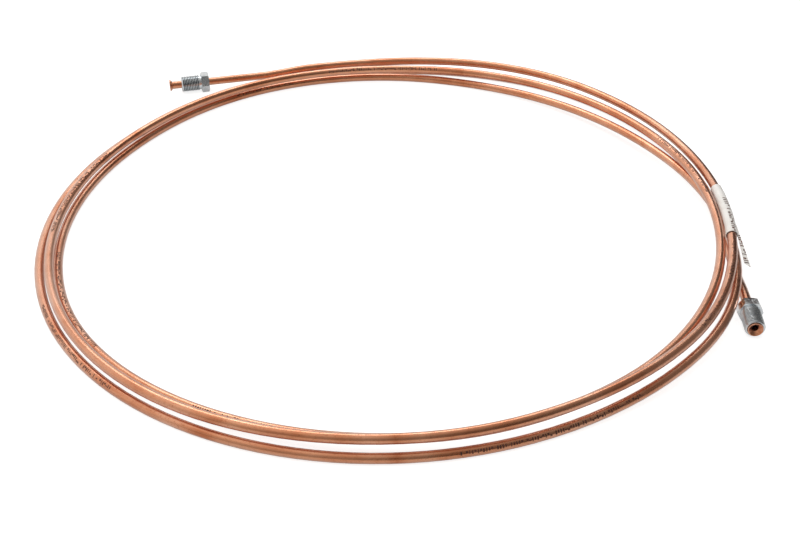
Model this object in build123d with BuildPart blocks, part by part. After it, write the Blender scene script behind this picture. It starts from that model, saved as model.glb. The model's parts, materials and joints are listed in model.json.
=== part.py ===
from build123d import *
import math
import os

os.makedirs("parts", exist_ok=True)

# Millimetres, Z up. The origin is under the middle of the coil's outline, on the floor it lies on.
# Winding angle: 0 is the right of the coil, it grows anticlockwise seen from above,
# and it keeps counting through the turns. The photo looks along +Y.

# Tube stock
tube_od = 4.75
tube_bore = 3.35
tube_r = tube_od / 2
bore_r = tube_bore / 2

# Flared ends
flare_r = 3.6
flare_rim = 0.5
flare_land = 0.35
flare_round = 0.12

# Tube nuts
hex_flats = 11.0
hex_height = 5.0
barrel_r = 4.9
barrel_length = 12.4
nut_length = hex_height + barrel_length
nut_bore_r = tube_r + 0.3
nut_mouth_r = nut_bore_r + 1.075
nose_chamfer = 0.7
hex_chamfer = 0.45
hex_corner_r = hex_flats / math.sqrt(3)
relief_r = 4.3
relief_width = 1.2
nut_rest_height = hex_flats / 2

# Label
label_gap = 0.3
label_thick = 0.25
flag_length = 37.0
flag_width = 2.9
flag_root = 0.8
flag_skew = 2.5

# Hand wound shape, read off the photo every thirty degrees of winding
station_step = 30
turn_one = [176.5, 184.0, 190.5, 186.5, 183.5, 180.8, 180.3, 181.0, 180.5, 178.5, 177.5, 183.0]
turn_two = [174.5, 167.5, 171.5, 177.0, 177.9, 172.5, 171.0, 172.0, 170.5, 169.5, 171.5, 172.0]
turn_three = [170.5, 171.5, 177.5, 175.5, 176.5, 173.6, 173.7, 176.7, 177.5, 174.5, 175.0, 178.0]
turn_four = [176.0, 181.0, 191.5, 187.5, 185.5, 185.5]
radii = turn_one + turn_two + turn_three + turn_four

# Heights of the tube centre where one turn climbs over another, as winding angle and height
floor_height = tube_r
climbs = [
    (0, floor_height),
    (291, floor_height),
    (338, 9.5),
    (370, 8.5),
    (440, floor_height),
    (561, floor_height),
    (630, 5.0),
    (675, 9.4),
    (700, 12.4),
    (729, 14.0),
    (790, 9.0),
    (850, 8.0),
    (930, 8.0),
    (990, 9.4),
    (1035, 13.0),
    (1075, 14.8),
    (1095, 13.6),
    (1140, 9.8),
    (1200, 7.2),
]

# The wound part of the route
first_angle = 20.5
last_angle = 1160.5
bend_step = 30
coil_middle = Vector(1.8, -4.6, 0)

# The free ends run straight through their nuts, then dip to or rise from the coil
right_end = coil_middle + Vector(171.9, -93.9, nut_rest_height)
right_straight = coil_middle + Vector(172.8, -75.0, nut_rest_height)
right_low = coil_middle + Vector(174.5, -38.0, floor_height)
back_end = coil_middle + Vector(-138.4, 158.9, nut_rest_height)
back_straight = coil_middle + Vector(-86.0, 171.8, nut_rest_height)
back_lift = coil_middle + Vector(-48.0, 181.15, 7.6)
nut_on_flare = 0.95
nut_slid_back = 5.6

# The label is stuck round one arc of the route, with a loose corner
label_angle = 1070.5
flag_angle = 1074
flag_droop = 10


def ease(before, start, end, after, share):
    # smooth value between two stations, using their neighbours for the slope
    slope_start = (end - before) / 2
    slope_end = (after - start) / 2
    square = share * share
    cube = square * share
    return (
        (2 * cube - 3 * square + 1) * start
        + (cube - 2 * square + share) * slope_start
        + (3 * square - 2 * cube) * end
        + (cube - square) * slope_end
    )


def coil_radius(angle):
    place = angle / station_step
    index = math.floor(place)
    near = [radii[min(max(index + k, 0), len(radii) - 1)] for k in (-1, 0, 1, 2)]
    return ease(*near, place - index)


def coil_height(angle):
    for (start, low), (end, high) in zip(climbs, climbs[1:]):
        if start <= angle <= end:
            share = (angle - start) / (end - start)
            return low + (high - low) * (3 * share**2 - 2 * share**3)


def coil_point(angle):
    turn = math.radians(angle)
    reach = coil_radius(angle)
    return coil_middle + Vector(reach * math.cos(turn), reach * math.sin(turn), coil_height(angle))


def coil_heading(angle):
    return (coil_point(angle + 0.01) - coil_point(angle - 0.01)).normalized()


def bend(start, heading, end, new_heading):
    # two arcs that leave start along heading and reach end along new_heading
    chord = end - start
    spread = 2 * (1 - heading.dot(new_heading))
    along = chord.dot(heading + new_heading)
    if spread < 1e-6:
        reach = chord.dot(chord) / (2 * along)
    else:
        reach = (math.sqrt(along**2 + spread * chord.dot(chord)) - along) / spread
    middle = (start + end + (heading - new_heading) * reach) / 2
    first = TangentArc(start, middle, tangent=heading)
    second = TangentArc(middle, end, tangent=first % 1)
    return first, second


right_heading = (right_straight - right_end).normalized()
back_heading = (back_end - back_straight).normalized()
bends = round((last_angle - first_angle) / bend_step)
stops = [first_angle + bend_step * count for count in range(bends + 1)]

# One route from the right hand end, round the coil and out to the end at the back
with BuildLine() as route:
    Line(right_end, right_straight)
    bend(right_straight, right_heading, right_low, right_heading)
    bend(right_low, right_heading, coil_point(first_angle), coil_heading(first_angle))
    for start, end in zip(stops, stops[1:]):
        arcs = bend(coil_point(start), coil_heading(start), coil_point(end), coil_heading(end))
        if start == label_angle:
            label_arc = arcs[0]
    bend(coil_point(last_angle), coil_heading(last_angle), back_lift, back_heading)
    bend(back_lift, back_heading, back_straight, back_heading)
    Line(back_straight, back_end)

# Belled end of the tube, its mouth facing +Z
cone_height = flare_r - tube_r
bell_height = cone_height + flare_rim
mouth_r = flare_r - flare_land
with BuildPart() as bell:
    with BuildSketch(Plane.XZ):
        with BuildLine():
            Polyline(
                (bore_r, 0),
                (tube_r, 0),
                (flare_r, cone_height),
                (flare_r, bell_height),
                (mouth_r, bell_height),
                (bore_r, bell_height - (mouth_r - bore_r)),
                close=True,
            )
        make_face()
    revolve(axis=Axis.Z)
    chamfer(bell.edges().filter_by(GeomType.CIRCLE).sort_by(Axis.Z)[-1], length=flare_round)
bell_foot = bell.faces().sort_by(Axis.Z)[0]
bell_skin = bell.faces().filter_by(lambda face: face.center().Z > bell_foot.center().Z + 0.01)

# The walls of every length of the route and of both bells close into one hollow solid.
# Each section starts where the one before it ended, so the walls meet point to point.
up = Vector(0, 0, 1)
seam = up
right_mouth = Plane(right_end, x_dir=seam, z_dir=-right_heading)
walls = [face.moved(right_mouth.location) for face in bell_skin]
for run in route.edges():
    with BuildPart() as length:
        with BuildSketch(Plane(run @ 0, x_dir=seam, z_dir=run % 0)):
            Circle(tube_r)
            Circle(bore_r, mode=Mode.SUBTRACT)
        sweep(path=run)
    walls += length.faces().filter_by(GeomType.PLANE, reverse=True)
    if run.geom_type == GeomType.CIRCLE:
        turning = Axis((0, 0, 0), (run % 0).cross(run % 1))
        seam = seam.rotate(turning, (run % 0).get_angle(run % 1))
back_mouth = Plane(back_end, x_dir=seam, z_dir=back_heading)
walls += [face.moved(back_mouth.location) for face in bell_skin]
with BuildPart() as tube:
    add(Solid(Shell(walls)))
tube.part.label = "copper_tube"
export_step(tube.part, "parts/copper_tube.step")

# Tube nut, its hexagon on the ground plane and its nose up
with BuildPart() as nut:
    with BuildSketch():
        RegularPolygon(radius=hex_flats / 2, side_count=6, major_radius=False)
    extrude(amount=hex_height)
    with BuildSketch(Plane.XZ):
        with BuildLine():
            Polyline(
                (0, 0),
                (hex_corner_r - hex_chamfer * 2, 0),
                (hex_corner_r, hex_chamfer),
                (hex_corner_r, hex_height - hex_chamfer),
                (hex_corner_r - hex_chamfer * 2, hex_height),
                (0, hex_height),
                close=True,
            )
        make_face()
    revolve(axis=Axis.Z, mode=Mode.INTERSECT)
    with BuildSketch(Plane.XY.offset(hex_height)):
        Circle(barrel_r)
    extrude(amount=barrel_length)
    nose = nut.faces().sort_by(Axis.Z)[-1]
    chamfer(nose.edges(), length=nose_chamfer)
    with BuildSketch(Plane.XY.offset(hex_height)):
        Circle(barrel_r + 0.5)
        Circle(relief_r, mode=Mode.SUBTRACT)
    extrude(amount=relief_width, mode=Mode.SUBTRACT)
    with Locations(nut.faces().sort_by(Axis.Z)[-1]):
        CounterSinkHole(nut_bore_r, nut_mouth_r, counter_sink_angle=90)

# Each nut stands on a flat of its hexagon, as it lies on the floor
right_nut_foot = right_end + right_heading * (nut_length - nut_on_flare)
back_nut_foot = back_end - back_heading * (nut_length + nut_slid_back)
right_seat = Plane(right_nut_foot, x_dir=up.cross(-right_heading), z_dir=-right_heading)
back_seat = Plane(back_nut_foot, x_dir=up.cross(back_heading), z_dir=back_heading)
with BuildPart() as right_nut:
    add(nut.part.moved(right_seat.location))
right_nut.part.label = "tube_nut_right"
export_step(right_nut.part, "parts/tube_nut_right.step")
with BuildPart() as back_nut:
    add(nut.part.moved(back_seat.location))
back_nut.part.label = "tube_nut_back"
export_step(back_nut.part, "parts/tube_nut_back.step")

# Label: a sleeve of stock round the tube, with a corner that stands off its outer side
label_r = tube_r + label_gap
flag_turn = math.radians(flag_angle)
outward = Vector(math.cos(flag_turn), math.sin(flag_turn), 0)
droop = math.radians(flag_droop)
flag_side = outward * math.cos(droop) - up * math.sin(droop)
flag_run = -coil_heading(flag_angle)
flag_start = coil_point(flag_angle) + flag_side * (label_r + label_thick / 2)
with BuildPart() as label:
    with BuildSketch(Plane(origin=label_arc @ 0, z_dir=label_arc % 0)):
        Circle(label_r + label_thick)
        Circle(label_r, mode=Mode.SUBTRACT)
    sweep(path=label_arc)
    with BuildSketch(Plane(flag_start, x_dir=flag_run, z_dir=flag_run.cross(flag_side))):
        with BuildLine():
            Polyline(
                (0, 0),
                (0, flag_root),
                (flag_length, flag_width),
                (flag_length - flag_skew, 0),
                close=True,
            )
        make_face()
    extrude(amount=label_thick / 2, both=True)
label.part.label = "wrap_label"
export_step(label.part, "parts/wrap_label.step")

print("tube volume", tube.part.volume)
print("wall section times length", math.pi * (tube_r**2 - bore_r**2) * route.wires()[0].length)
print("route length", route.wires()[0].length)
print("right nut foot", right_nut_foot, "toward", -right_heading)
print("back nut foot", back_nut_foot, "toward", back_heading)
print("solids", [len(n.part.solids()) for n in (tube, right_nut, back_nut, label)])
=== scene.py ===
import json
import math

import bpy
from mathutils import Matrix, Vector


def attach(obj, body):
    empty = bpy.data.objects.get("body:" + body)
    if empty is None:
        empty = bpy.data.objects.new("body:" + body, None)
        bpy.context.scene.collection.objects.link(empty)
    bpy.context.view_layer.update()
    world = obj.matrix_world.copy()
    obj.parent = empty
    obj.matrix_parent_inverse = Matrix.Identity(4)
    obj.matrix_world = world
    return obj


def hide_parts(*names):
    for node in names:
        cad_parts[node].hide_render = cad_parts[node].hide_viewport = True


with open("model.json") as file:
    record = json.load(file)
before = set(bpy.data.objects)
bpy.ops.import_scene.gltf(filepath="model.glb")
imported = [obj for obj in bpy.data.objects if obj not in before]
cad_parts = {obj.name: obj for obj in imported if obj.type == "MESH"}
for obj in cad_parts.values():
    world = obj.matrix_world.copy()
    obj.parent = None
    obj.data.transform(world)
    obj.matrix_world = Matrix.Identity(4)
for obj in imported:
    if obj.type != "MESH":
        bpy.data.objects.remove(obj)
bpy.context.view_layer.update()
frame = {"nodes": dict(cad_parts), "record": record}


# Copper tube
# The real piece is one length of soft copper line tube, 4.75 mm across, drawn through a die and
# wound by hand. The drawing leaves fine streaks along it, and handling leaves a brown tarnish and
# small dull spots. Its shape is the frame's own, so only the skin is made here.
mm = 0.001
coil_middle = (1.8, -4.6)
coil_radius = 178


def node(tree, kind, inputs=(), **settings):
    # adds a node; an input that is given another node's socket is linked to it
    made = tree.nodes.new(kind)
    for name, value in settings.items():
        setattr(made, name, value)
    for key, value in dict(inputs).items():
        if isinstance(value, bpy.types.NodeSocket):
            tree.links.new(value, made.inputs[key])
        else:
            made.inputs[key].default_value = value
    return made


def calc(tree, operation, *values):
    return node(tree, "ShaderNodeMath", enumerate(values), operation=operation).outputs[0]


def times(tree, value, factor):
    return calc(tree, "MULTIPLY", value, factor)


def distance_from_axis(tree, x, y):
    return calc(tree, "SQRT", calc(tree, "ADD", times(tree, x, x), times(tree, y, y)))


def span(tree, value, low, high, to_low=0.0, to_high=1.0):
    return node(tree, "ShaderNodeMapRange", {
        "Value": value, "From Min": low, "From Max": high, "To Min": to_low, "To Max": to_high,
    }).outputs[0]


def mixed(tree, share, first, second, blend_type="MIX"):
    return node(tree, "ShaderNodeMix", {0: share, 6: first, 7: (*second, 1)},
                data_type="RGBA", blend_type=blend_type).outputs[2]


def ramp(tree, factor, *stops):
    made = node(tree, "ShaderNodeValToRGB", {"Fac": factor})
    ends = made.color_ramp.elements
    for end, (position, colour) in zip((ends[0], ends[1]), (stops[0], stops[-1])):
        end.position, end.color = position, (*colour, 1)
    for position, colour in stops[1:-1]:
        ends.new(position).color = (*colour, 1)
    return made.outputs["Color"]


def sockets(group, way, **kinds):
    for name, kind in kinds.items():
        group.interface.new_socket(
            name.replace("_", " "), in_out=way, socket_type="NodeSocket" + kind)


def grouped(tree, group, *values):
    return node(tree, "ShaderNodeGroup", enumerate(values), node_tree=group).outputs


def material(name, **values):
    # a Principled material, its node tree, its shader and the piece's own coordinates
    made = bpy.data.materials.new(name)
    made.use_nodes = True
    tree = made.node_tree
    shader = tree.nodes["Principled BSDF"]
    for socket, value in values.items():
        shader.inputs[socket.replace("_", " ")].default_value = value
    return made, tree, shader, node(tree, "ShaderNodeTexCoord").outputs["Object"]


def bumped(tree, shader, strength, distance, height):
    relief = node(tree, "ShaderNodeBump", {
        "Strength": strength, "Distance": distance, "Height": height})
    tree.links.new(relief.outputs[0], shader.inputs["Normal"])


# streaks that follow the turns: distance round the coil is squeezed, distance across it is kept
drawn = bpy.data.node_groups.new("drawn_along_the_turns", "ShaderNodeTree")
sockets(drawn, "INPUT", Place="Vector", Squeeze="Float", Scale="Float")
sockets(drawn, "OUTPUT", Streak="Float")
entry = node(drawn, "NodeGroupInput").outputs
leave = node(drawn, "NodeGroupOutput")
centred = node(drawn, "ShaderNodeVectorMath", {
    0: entry["Place"], 1: (coil_middle[0] * mm, coil_middle[1] * mm, 0)}, operation="SUBTRACT")
x, y, z = node(drawn, "ShaderNodeSeparateXYZ", {0: centred.outputs[0]}).outputs
reach = distance_from_axis(drawn, x, y)
share = calc(drawn, "DIVIDE", times(drawn, entry["Squeeze"], coil_radius * mm), reach)
track = node(drawn, "ShaderNodeCombineXYZ", {
    0: times(drawn, x, share), 1: times(drawn, y, share), 2: reach})
grain = node(drawn, "ShaderNodeTexNoise", {
    "Vector": track.outputs[0], "W": z, "Scale": entry["Scale"], "Detail": 3.0, "Roughness": 0.6,
}, noise_dimensions="4D")
drawn.links.new(grain.outputs["Fac"], leave.inputs["Streak"])

# wear for any handled surface: a mask of broad patches and one of fine spots
wear = bpy.data.node_groups.new("handling_wear", "ShaderNodeTree")
sockets(wear, "INPUT", Place="Vector", Patch_Scale="Float", Spot_Scale="Float")
sockets(wear, "OUTPUT", Patch="Float", Spot="Float")
entry = node(wear, "NodeGroupInput").outputs
leave = node(wear, "NodeGroupOutput")
broad = node(wear, "ShaderNodeTexNoise", {
    "Vector": entry["Place"], "Scale": entry["Patch Scale"], "Detail": 4.0, "Roughness": 0.55,
    "Distortion": 0.6})
fine = node(wear, "ShaderNodeTexNoise", {
    "Vector": entry["Place"], "Scale": entry["Spot Scale"], "Detail": 2.0, "Roughness": 0.5})
wear.links.new(span(wear, broad.outputs["Fac"], 0.35, 0.68), leave.inputs["Patch"])
wear.links.new(span(wear, fine.outputs["Fac"], 0.56, 0.72), leave.inputs["Spot"])

copper, tree, shader, place = material("drawn_copper", Metallic=1.0)
streak = grouped(tree, drawn, place, 0.03, 1900.0)["Streak"]
lines = grouped(tree, drawn, place, 0.008, 5200.0)["Streak"]
patch, spot = grouped(tree, wear, place, 38.0, 1500.0)
tone = calc(tree, "ADD", times(tree, patch, 0.45), times(tree, streak, 0.55))
skin = ramp(tree, tone, (0.18, (0.59, 0.23, 0.125)), (0.42, (0.76, 0.40, 0.27)),
            (0.8, (0.88, 0.56, 0.43)))
spotted = mixed(tree, times(tree, spot, 0.45), skin, (0.33, 0.12, 0.06))
# painted shade and painted sheen: by the view angle, the colour is made deeper and redder where the
# tube is met square on and paler towards a glancing angle
slope = node(tree, "ShaderNodeLayerWeight", {"Blend": 0.5}).outputs["Facing"]
painted_shade_share = span(tree, slope, 0.08, 0.6, 1.0, 0.0)
painted_sheen_share = span(tree, slope, 0.42, 0.95, 0.0, 0.7)
painted_shade_colour = mixed(tree, painted_shade_share, spotted, (1.0, 0.78, 0.6), "MULTIPLY")
tree.links.new(mixed(tree, painted_sheen_share, painted_shade_colour, (0.84, 0.65, 0.57)), shader.inputs["Base Color"])
dull = calc(tree, "ADD", times(tree, spot, 0.12), 0.21)
tree.links.new(calc(tree, "ADD", times(tree, lines, 0.14), dull), shader.inputs["Roughness"])
bumped(tree, shader, 0.2, 0.03 * mm, calc(tree, "ADD", lines, times(tree, streak, 1.5)))
for slot in frame["nodes"]["copper_tube"].material_slots:
    slot.material = copper


# Printing on the tube
# The maker rolls a line of small dark ink characters along the tube every so often. Only plain
# dashes, bars and dots are put there, in listed runs. They follow the wound route, so the
# route is worked out here from the same stations and heights, in millimetres, as the tube.
tube_radius = 2.375
station_step = 30
turns = [
    176.5, 184.0, 190.5, 186.5, 183.5, 180.8, 180.3, 181.0, 180.5, 178.5, 177.5, 183.0,
    174.5, 167.5, 171.5, 177.0, 177.9, 172.5, 171.0, 172.0, 170.5, 169.5, 171.5, 172.0,
    170.5, 171.5, 177.5, 175.5, 176.5, 173.6, 173.7, 176.7, 177.5, 174.5, 175.0, 178.0,
    176.0, 181.0, 191.5, 187.5, 185.5, 185.5,
]
climbs = [
    (0, 2.375), (291, 2.375), (338, 9.5), (370, 8.5), (440, 2.375), (561, 2.375), (630, 5.0),
    (675, 9.4), (700, 12.4), (729, 14.0), (790, 9.0), (850, 8.0), (930, 8.0), (990, 9.4),
    (1035, 13.0), (1075, 14.8), (1095, 13.6), (1140, 9.8), (1200, 7.2),
]


def route_point(angle):
    place = angle / station_step
    index = math.floor(place)
    near = [turns[min(max(index + k, 0), len(turns) - 1)] for k in (-1, 0, 1, 2)]
    before, start, end, after = near
    t = place - index
    reach = ((2 * t**3 - 3 * t**2 + 1) * start + (t**3 - 2 * t**2 + t) * (end - before) / 2
             + (3 * t**2 - 2 * t**3) * end + (t**3 - t**2) * (after - start) / 2)
    for (first, low), (last, high) in zip(climbs, climbs[1:]):
        if first <= angle <= last:
            s = (angle - first) / (last - first)
            height = low + (high - low) * (3 * s**2 - 2 * s**3)
    turn = math.radians(angle)
    across, along = coil_middle
    return Vector((across + reach * math.cos(turn), along + reach * math.sin(turn), height)) * mm


def vector(tree, operation, *values):
    return node(tree, "ShaderNodeVectorMath", enumerate(values), operation=operation).outputs[0]


def scaled(tree, value, factor):
    return node(tree, "ShaderNodeVectorMath", {0: value, "Scale": factor},
                operation="SCALE").outputs[0]


# print: a mark every pitch along the line, picked from six shapes, pressed onto the carrier's skin
ink_lift = 0.03
stand_off = 0.4
word_length = 11
stamp = bpy.data.node_groups.new("stamped_print", "GeometryNodeTree")
sockets(stamp, "INPUT", Line="Geometry", Carrier="Object", Carrier_Radius="Float", Pitch="Float",
        Height="Float", Lift="Float", Seed="Int", Ink="Material")
sockets(stamp, "OUTPUT", Marks="Geometry")
entry = node(stamp, "NodeGroupInput").outputs
leave = node(stamp, "NodeGroupOutput")
line = node(stamp, "GeometryNodeMeshToCurve", {"Mesh": entry["Line"]}).outputs[0]
dots = node(stamp, "GeometryNodeCurveToPoints", {"Curve": line, "Length": entry["Pitch"]},
            mode="LENGTH").outputs
number = node(stamp, "GeometryNodeInputIndex").outputs[0]
in_word = calc(stamp, "MODULO", number, word_length)
gap = calc(stamp, "GREATER_THAN", in_word, word_length - 1.5)
struck = node(stamp, "FunctionNodeRandomValue", {"Probability": 0.95, "Seed": entry["Seed"]},
              data_type="BOOLEAN").outputs[3]
shown = calc(stamp, "GREATER_THAN", calc(stamp, "SUBTRACT", struck, gap), 0.5)

turn = node(stamp, "GeometryNodeInputNamedAttribute", {"Name": "turn"},
            data_type="FLOAT").outputs[0]
sideways = vector(stamp, "NORMALIZE", vector(stamp, "CROSS_PRODUCT", dots["Tangent"], (0, 0, 1)))
outward = scaled(stamp, sideways, calc(stamp, "SINE", turn))
upward = scaled(stamp, (0, 0, 1), calc(stamp, "COSINE", turn))
facing = vector(stamp, "ADD", outward, upward)
clear = calc(stamp, "ADD", entry["Carrier Radius"], stand_off * mm)
raised = node(stamp, "GeometryNodeSetPosition", {
    "Geometry": dots["Points"], "Offset": scaled(stamp, facing, clear)})
aim = node(stamp, "FunctionNodeAxesToRotation", {0: dots["Tangent"], 1: facing},
           primary_axis="X", secondary_axis="Z")

mark_shapes = [  # length as a share of the pitch, then width and shift as shares of the height
    (0.38, 1.0, 0.0), (0.8, 0.5, 0.22), (0.95, 0.28, -0.05),
    (0.62, 0.9, 0.0), (0.45, 0.8, 0.1), (0.8, 0.45, -0.25),
]
shapes = node(stamp, "GeometryNodeJoinGeometry")
for wide, tall, shifted in mark_shapes:
    bar = node(stamp, "GeometryNodeMeshGrid", {
        "Size X": times(stamp, entry["Pitch"], wide), "Size Y": times(stamp, entry["Height"], tall),
        "Vertices X": 3, "Vertices Y": 7})
    shift = node(stamp, "ShaderNodeCombineXYZ", {1: times(stamp, entry["Height"], shifted)})
    moved = node(stamp, "GeometryNodeTransform", {
        "Geometry": bar.outputs[0], "Translation": shift.outputs[0]})
    one = node(stamp, "GeometryNodeGeometryToInstance", {0: moved.outputs[0]})
    stamp.links.new(one.outputs[0], shapes.inputs[0])
choice_seed = calc(stamp, "ADD", entry["Seed"], 7.0)
choice = node(stamp, "FunctionNodeRandomValue", {
    4: 0, 5: len(mark_shapes) - 1, "Seed": choice_seed}, data_type="INT").outputs[2]
marks = node(stamp, "GeometryNodeInstanceOnPoints", {
    "Points": raised.outputs[0], "Selection": shown, "Instance": shapes.outputs[0],
    "Pick Instance": True, "Instance Index": choice, "Rotation": aim.outputs[0]})
solid = node(stamp, "GeometryNodeRealizeInstances", {0: marks.outputs[0]})

carrier = node(stamp, "GeometryNodeObjectInfo", {"Object": entry["Carrier"]},
               transform_space="ORIGINAL").outputs["Geometry"]
nearest = node(stamp, "GeometryNodeProximity", {"Geometry": carrier},
               target_element="FACES").outputs["Position"]
here = node(stamp, "GeometryNodeInputPosition").outputs[0]
away = vector(stamp, "NORMALIZE", vector(stamp, "SUBTRACT", here, nearest))
on_skin = vector(stamp, "ADD", nearest, scaled(stamp, away, entry["Lift"]))
pressed = node(stamp, "GeometryNodeSetPosition", {
    "Geometry": solid.outputs[0], "Position": on_skin})
inked = node(stamp, "GeometryNodeSetMaterial", {
    "Geometry": pressed.outputs[0], "Material": entry["Ink"]})
stamp.links.new(inked.outputs[0], leave.inputs[0])


def built(name, mesh, group, settings, body):
    # runs one geometry group on a mesh and keeps the plain result as a piece
    source = bpy.data.objects.new(name + "_source", mesh)
    bpy.context.scene.collection.objects.link(source)
    modifier = source.modifiers.new("shape", "NODES")
    modifier.node_group = group
    for item in group.interface.items_tree:
        if item.in_out == "INPUT" and item.name in settings:
            modifier[item.identifier] = settings[item.name]
    bpy.context.view_layer.update()
    shaped = source.evaluated_get(bpy.context.evaluated_depsgraph_get())
    plain = bpy.data.meshes.new_from_object(shaped)
    plain.name = name
    bpy.data.objects.remove(source)
    piece = bpy.data.objects.new(name, plain)
    bpy.context.scene.collection.objects.link(piece)
    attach(piece, body)
    return piece


def guide(name, points, edges, turned):
    # the line that the marks follow, with how far each point is turned outward from the top
    made = bpy.data.meshes.new(name)
    made.from_pydata(points, edges, [])
    made.attributes.new("turn", "FLOAT", "POINT").data.foreach_set("value", turned)
    return made


ink, tree, shader, place = material("worn_ink", Roughness=0.55)
patch, spot = grouped(tree, wear, place, 160.0, 2600.0)
faded = ramp(tree, patch, (0.0, (0.06, 0.024, 0.016)), (0.6, (0.13, 0.048, 0.03)),
             (1.0, (0.24, 0.09, 0.05)))
rubbed = calc(tree, "ADD", times(tree, spot, 0.7), times(tree, patch, 0.15))
tree.links.new(faded, shader.inputs["Base Color"])
tree.links.new(calc(tree, "SUBTRACT", 1.0, rubbed), shader.inputs["Alpha"])

tube_prints = [  # first and last winding angle, then how far the print is turned outward at each
    (204, 228, 28, 45), (280, 308, 58, 52), (471, 483, -45, -35), (550, 579, -12, -4),
    (601, 628, 30, 34), (724, 745, -8, -25), (800, 823, -50, -55), (878, 906, -32, 2),
    (1044, 1067, 14, 4),
]
points, edges, turned = [], [], []
for first, last, turn_first, turn_last in tube_prints:
    steps = (last - first) * 2
    for step in range(steps + 1):
        if step:
            edges.append((len(points) - 1, len(points)))
        points.append(route_point(first + step / 2))
        turned.append(math.radians(turn_first + (turn_last - turn_first) * step / steps))
built("tube_print", guide("print_lines", points, edges, turned), stamp, {
    "Carrier": frame["nodes"]["copper_tube"], "Carrier Radius": tube_radius * mm,
    "Pitch": 1.2 * mm, "Height": 2.3 * mm, "Lift": ink_lift * mm, "Seed": 3, "Ink": ink,
}, "tube")


# Tube nuts
# Each is turned from an 11 mm steel hexagon: head, undercut, a fine 10 mm thread, a chamfered nose
# and a bore for the tube, then zinc plated. They stand in for the plain nuts of the frame, from
# the same sizes and the same seats, with the thread cut as one helix.
zinc, tree, shader, place = material("zinc_plate", Metallic=1.0)
patch, spot = grouped(tree, wear, place, 240.0, 2400.0)
groove = node(tree, "ShaderNodeAttribute", attribute_name="groove").outputs["Fac"]
plate = ramp(tree, patch, (0.0, (0.72, 0.76, 0.80)), (0.5, (0.84, 0.88, 0.90)),
             (1.0, (0.92, 0.94, 0.95)))
# painted shade: the plate is darkened almost to black where the thread is cut deepest, in its roots
groove_painted_shade = mixed(tree, times(tree, groove, 0.85), plate, (0.15, 0.17, 0.18))
worn = calc(tree, "ADD", times(tree, spot, 0.16), times(tree, patch, 0.1))
tree.links.new(groove_painted_shade, shader.inputs["Base Color"])
tree.links.new(calc(tree, "ADD", 0.14, worn), shader.inputs["Roughness"])
bumped(tree, shader, 0.3, 0.04 * mm, spot)

# thread: points of the barrel move inward by a vee that winds round once every pitch
skin_depth = 0.02
thread = bpy.data.node_groups.new("cut_thread", "GeometryNodeTree")
sockets(thread, "INPUT", Blank="Geometry", Pitch="Float", Depth="Float", Barrel_Radius="Float",
        Start="Float", End="Float", Run_Out="Float", Metal="Material")
sockets(thread, "OUTPUT", Cut="Geometry")
entry = node(thread, "NodeGroupInput").outputs
leave = node(thread, "NodeGroupOutput")
here = node(thread, "GeometryNodeInputPosition").outputs[0]
x, y, z = node(thread, "ShaderNodeSeparateXYZ", {0: here}).outputs
wound = calc(thread, "DIVIDE", calc(thread, "ARCTAN2", y, x), math.tau)
pitches = calc(thread, "DIVIDE", z, entry["Pitch"])
phase = calc(thread, "FRACT", calc(thread, "SUBTRACT", pitches, wound))
tooth = calc(thread, "ABSOLUTE", calc(thread, "SUBTRACT", times(thread, phase, 2.0), 1.0))
vee = span(thread, tooth, 0.1, 0.88)
run_in = span(thread, z, entry["Start"], calc(thread, "ADD", entry["Start"], entry["Run Out"]))
run_out = span(thread, z, entry["End"], calc(thread, "SUBTRACT", entry["End"], entry["Run Out"]))
wide = distance_from_axis(thread, x, y)
inner = calc(thread, "SUBTRACT", entry["Barrel Radius"], skin_depth * mm)
outer = calc(thread, "ADD", entry["Barrel Radius"], skin_depth * mm)
on_barrel = times(thread, calc(thread, "GREATER_THAN", wide, inner),
                  calc(thread, "LESS_THAN", wide, outer))
cut = times(thread, times(thread, vee, on_barrel), times(thread, run_in, run_out))
taken = calc(thread, "DIVIDE", times(thread, cut, entry["Depth"]), wide)
left = calc(thread, "SUBTRACT", 1.0, taken)
inward = node(thread, "ShaderNodeCombineXYZ", {
    0: times(thread, x, left), 1: times(thread, y, left), 2: z})
kept = node(thread, "GeometryNodeStoreNamedAttribute", {
    "Geometry": entry["Blank"], "Name": "groove", "Value": cut},
    data_type="FLOAT", domain="POINT")
shaped = node(thread, "GeometryNodeSetPosition", {
    "Geometry": kept.outputs[0], "Position": inward.outputs[0]})
metal = node(thread, "GeometryNodeSetMaterial", {
    "Geometry": shaped.outputs[0], "Material": entry["Metal"]})
thread.links.new(metal.outputs[0], leave.inputs[0])

# the blank's rings, as radius and height, from the mouth down the bore, round the head and up the
# barrel; every edge has a small break, and "low" and "high" are the edges of the hexagon's flats
flat_reach, head_height, bevel_start = 5.5, 5.0, 5.451
bore_radius, mouth_radius, face_radius = 2.675, 3.7, 5.35
undercut_radius, barrel_radius, length = 4.3, 4.9, 17.4
thread_foot, thread_rise, thread_rows = 6.3, 10.3, 125
profile = [
    (bore_radius, 16.325), (bore_radius, 12.0), (bore_radius, 6.0), (bore_radius, 0.25),
    (2.9, 0.0), (face_radius, 0.0), ("low", 0), ("high", 0), (face_radius, head_height),
    (4.42, head_height), (undercut_radius, 5.12), (undercut_radius, 6.1),
]
for row in range(thread_rows):
    profile.append((barrel_radius, thread_foot + thread_rise * row / (thread_rows - 1)))
profile += [
    (barrel_radius, 16.7), (4.25, 17.35), (4.15, length), (3.8, length), (mouth_radius, 17.35),
]
spokes = 96
corners, quads = [], []
for radius, height in profile:
    for spoke in range(spokes):
        swing = math.tau * spoke / spokes
        to_flat = flat_reach / math.cos(math.radians(math.degrees(swing) % 60 - 30))
        bevel = max(0.0, (to_flat - bevel_start) / 2)
        if radius == "low":
            out, up = to_flat, bevel
        elif radius == "high":
            out, up = to_flat, head_height - bevel
        else:
            out, up = radius, height
        corners.append((out * math.cos(swing) * mm, out * math.sin(swing) * mm, up * mm))
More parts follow.
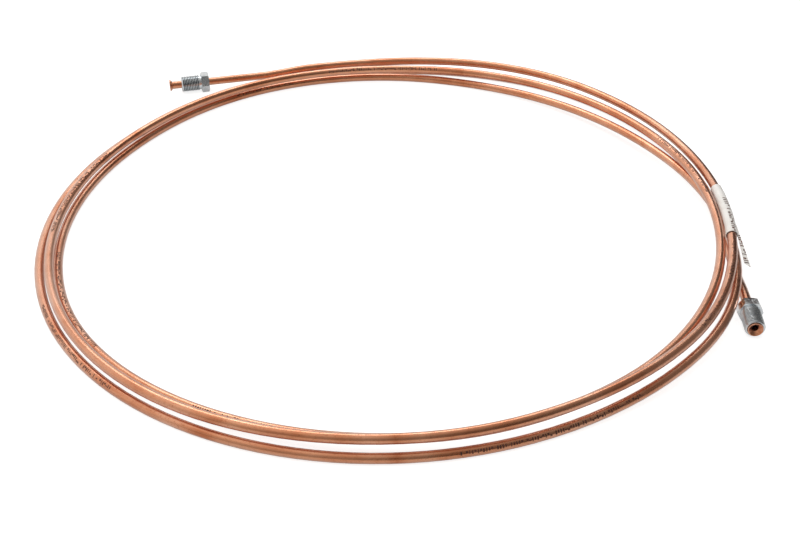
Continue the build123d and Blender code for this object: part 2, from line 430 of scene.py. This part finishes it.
for ring in range(len(profile)):
    here, after = ring * spokes, (ring + 1) % len(profile) * spokes
    for spoke in range(spokes):
        beside = (spoke + 1) % spokes
        quads.append((here + spoke, here + beside, after + beside, after + spoke))

mount_above_foot = 11.45
for mount in frame["record"]["mounts"]:
    side = mount["name"].replace("_nut_barrel", "")
    nose = Vector(mount["axis"]).normalized()
    across = Vector((0, 0, 1)).cross(nose)
    seat = Matrix((across, nose.cross(across), nose)).transposed().to_4x4()
    seat.translation = Vector(mount["pos_m"]) - nose * mount_above_foot * mm
    blank = bpy.data.meshes.new("nut_blank")
    blank.from_pydata(corners, [], quads)
    nut = built("threaded_nut_" + side, blank, thread, {
        "Pitch": 1.0 * mm, "Depth": 0.5 * mm, "Barrel Radius": barrel_radius * mm,
        "Start": 6.25 * mm, "End": 16.9 * mm, "Run Out": 0.4 * mm, "Metal": zinc,
    }, side + "_nut")
    nut.data.transform(seat)
    nut.data.shade_smooth()
    nut.data.set_sharp_from_angle(angle=math.radians(35))
    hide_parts("tube_nut_" + side)


# Label
# A strip of white plastic film wrapped round one strand and stuck to itself, with a free corner.
# It is slightly creased, and printed with plain dark bars in place of words, along the strand and
# then along the corner.
film, tree, shader, place = material("label_film", Roughness=0.42)
patch = grouped(tree, wear, place, 130.0, 900.0)["Patch"]
aged = ramp(tree, patch, (0.0, (0.80, 0.78, 0.74)), (1.0, (0.88, 0.865, 0.835)))
crease = node(tree, "ShaderNodeTexNoise", {
    "Vector": place, "Scale": 210.0, "Detail": 3.0, "Distortion": 1.2}).outputs["Fac"]
tree.links.new(aged, shader.inputs["Base Color"])
bumped(tree, shader, 0.5, 0.3 * mm, crease)
for slot in frame["nodes"]["wrap_label"].material_slots:
    slot.material = film

label_radius = 2.925
sleeve_start, sleeve_points, sleeve_turn = 1070.9, 41, 22
corner_angle, corner_points, corner_tip = 1074, 27, 34
corner_edge, corner_widening = 3.5, 0.028
droop = math.radians(10)
points, turned = [], []
for step in range(sleeve_points):
    points.append(route_point(sleeve_start + step / 4))
    turned.append(math.radians(sleeve_turn - step / 5))
corner = route_point(corner_angle)
run = (route_point(corner_angle - 0.1) - route_point(corner_angle + 0.1)).normalized()
beside = Vector((0, 0, 1)).cross(run)
side = beside * math.cos(droop) - Vector((0, 0, math.sin(droop)))
facing = beside * math.sin(droop) + Vector((0, 0, math.cos(droop)))
for step in range(corner_points):
    along = corner_tip - step
    aside = corner_edge + along * corner_widening
    points.append(corner + (run * along + side * aside - facing * label_radius) * mm)
    turned.append(droop)
edges = [(k, k + 1) for k in range(len(points) - 1) if k != sleeve_points - 1]
built("label_print", guide("label_lines", points, edges, turned), stamp, {
    "Carrier": frame["nodes"]["wrap_label"], "Carrier Radius": label_radius * mm,
    "Pitch": 1.8 * mm, "Height": 2.9 * mm, "Lift": ink_lift * mm, "Seed": 11, "Ink": ink,
}, "tube")


# Studio
# A white paper floor in a soft white tent that is dimmer to the right and behind the camera, with
# one wide light over it and one behind the coil. A dark board shows only in reflections. The
# camera stands where it was fitted to the photograph.
def staged(name, corners, surface):
    mesh = bpy.data.meshes.new(name)
    mesh.from_pydata(corners, [], [(0, 1, 2, 3)])
    mesh.materials.append(surface)
    made = bpy.data.objects.new(name, mesh)
    bpy.context.scene.collection.objects.link(made)
    return made


paper, tree, shader = material("floor_paper", Roughness=0.9, Base_Color=(0.5, 0.5, 0.5, 1),
                               Emission_Color=(1, 1, 1, 1))[:3]
paths = node(tree, "ShaderNodeLightPath").outputs
to_camera = times(tree, paths["Is Camera Ray"], 0.8)
to_gloss = times(tree, paths["Is Glossy Ray"], 0.24)
tree.links.new(calc(tree, "ADD", to_camera, to_gloss), shader.inputs["Emission Strength"])
reach = 4
staged("studio_floor", [
    (-reach, -reach, 0), (reach, -reach, 0), (reach, reach, 0), (-reach, reach, 0)], paper)

felt = material("black_felt", Roughness=1.0, Base_Color=(0.10, 0.06, 0.05, 1))[0]
left, right, behind, top = 0.27, 0.9, 0.36, 0.4
board = staged("black_board", [
    (left, behind, 0), (right, behind, 0), (right, behind, top), (left, behind, top)], felt)
board.visible_camera = board.visible_diffuse = board.visible_shadow = False

studio = bpy.data.worlds.new("studio")
bpy.context.scene.world = studio
studio.use_nodes = True
tree = studio.node_tree
around = node(tree, "ShaderNodeTexCoord").outputs["Generated"]
rightward, backward = node(tree, "ShaderNodeSeparateXYZ", {0: around}).outputs[:2]
depth = span(tree, backward, -0.8, -0.1, 0.38, 0.9)
shade = span(tree, rightward, -0.3, 0.5, 1.0, 0.22)
direct = node(tree, "ShaderNodeLightPath").outputs["Is Camera Ray"]
tent = tree.nodes["Background"]
tent.inputs["Color"].default_value = (1.0, 0.97, 0.94, 1)
tree.links.new(calc(tree, "MAXIMUM", times(tree, depth, shade), direct), tent.inputs["Strength"])

for name, at, size, power, mirrored in (
    ("back_softbox", (-0.1, 0.75, 0.95), (1.0, 0.35), 3.2, True),
    ("ceiling", (0.0, -0.1, 1.8), (2.0, 2.0), 13, False),
):
    light = bpy.data.lights.new(name, "AREA")
    light.shape = "RECTANGLE"
    light.size, light.size_y = size
    light.energy = power
    lamp = bpy.data.objects.new(name, light)
    lamp.location = at
    lamp.rotation_euler = (-Vector(at)).to_track_quat("-Z", "Y").to_euler()
    lamp.visible_glossy = mirrored
    bpy.context.scene.collection.objects.link(lamp)

camera_at = (0.0077, -0.5616, 0.3602)
camera_dip = 34.63
lens = bpy.data.cameras.new("camera")
lens.sensor_width = 36
lens.lens = 56.07
camera = bpy.data.objects.new("camera", lens)
camera.location = camera_at
camera.rotation_euler = (math.radians(90 - camera_dip), 0, 0)
bpy.context.scene.collection.objects.link(camera)
bpy.context.scene.camera = camera
bpy.context.scene.view_settings.view_transform = "Standard"
